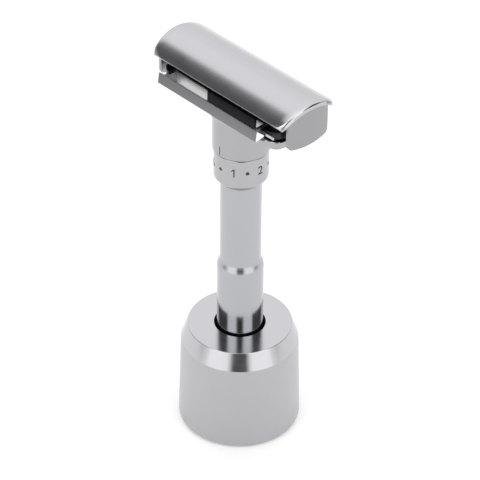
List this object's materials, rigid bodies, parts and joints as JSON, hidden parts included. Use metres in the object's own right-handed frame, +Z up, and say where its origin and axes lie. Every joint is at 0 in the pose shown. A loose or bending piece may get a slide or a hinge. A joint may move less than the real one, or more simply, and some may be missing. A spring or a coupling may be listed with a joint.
{
  "type": "safety razor",
  "caption": "Adjustable safety razor with an arched clip-on cap and a numbered adjusting handle, standing upright in a turned metal stand.",
  "frame": {"origin": "centre of the foot pad's underside, where the stand rests on the shelf", "axes": "+Z up along the razor, X along the head's long side, -Y the side with the index mark"},
  "size_m": [0.0504, 0.0336, 0.1138],
  "materials": {
    "stand_metal": "satin chrome sides with a polished chamfer and top",
    "handle_chrome": "satin chrome",
    "head_chrome": "satin chrome with bright edges",
    "cap_chrome": "satin chrome with a polished end bevel",
    "polished_chrome": "polished",
    "plain_steel": "machined",
    "spring_steel": "bright drawn",
    "bush_brass": "machined",
    "ballast_iron": "as cast",
    "bed_nylon": "black moulding, slight sheen",
    "liner_nylon": "black moulding",
    "pad_rubber": "matte"
  },
  "bodies": {
    "stand": {"stand_shell": "stand_metal", "stand_liner": "liner_nylon", "stand_ballast": "ballast_iron", "stand_base_plate": "plain_steel", "stand_base_screw": "plain_steel", "stand_foot_pad": "pad_rubber"},
    "head": {"guard_head": "head_chrome", "tray_insert": "bed_nylon", "retaining_clip": "spring_steel", "detent_ball": "plain_steel", "detent_spring": "spring_steel", "guide_pin_left": "plain_steel", "guide_pin_right": "plain_steel", "return_spring": "spring_steel"},
    "handle": {"handle_tube": "handle_chrome", "handle_end_plug": "polished_chrome", "adjuster_bush": "bush_brass", "thrust_washer": "bush_brass"},
    "bed": {"adjuster_stem": "plain_steel", "bed_carrier": "bed_nylon", "bed_screw": "plain_steel", "blade_support_left": "polished_chrome", "blade_support_right": "polished_chrome", "catch_spring_left": "spring_steel", "catch_spring_right": "spring_steel"},
    "cap": {"cap": "cap_chrome", "cap_post_left": "polished_chrome", "cap_post_right": "polished_chrome"}
  },
  "joints": [
    {"name": "razor_lift", "type": "slide", "parent": "stand", "child": "head", "axis": [0, 0, 1], "range_m": [0, 0.045]},
    {"name": "handle_turn", "type": "hinge", "parent": "head", "child": "handle", "pos_m": [0, 0, 0.085], "axis": [0, 0, 1], "range_deg": [-330, 0]},
    {"name": "bed_rise", "type": "slide", "parent": "head", "child": "bed", "axis": [0, 0, 1], "range_m": [0, 0.0012], "deforming": ["return_spring"]},
    {"name": "cap_lift", "type": "slide", "parent": "bed", "child": "cap", "axis": [0, 0, 1], "range_m": [0, 0.018]}
  ],
  "couplings": [
    {"joint": "handle_turn", "follows": "bed_rise", "rad_per_m": -4799}
  ]
}
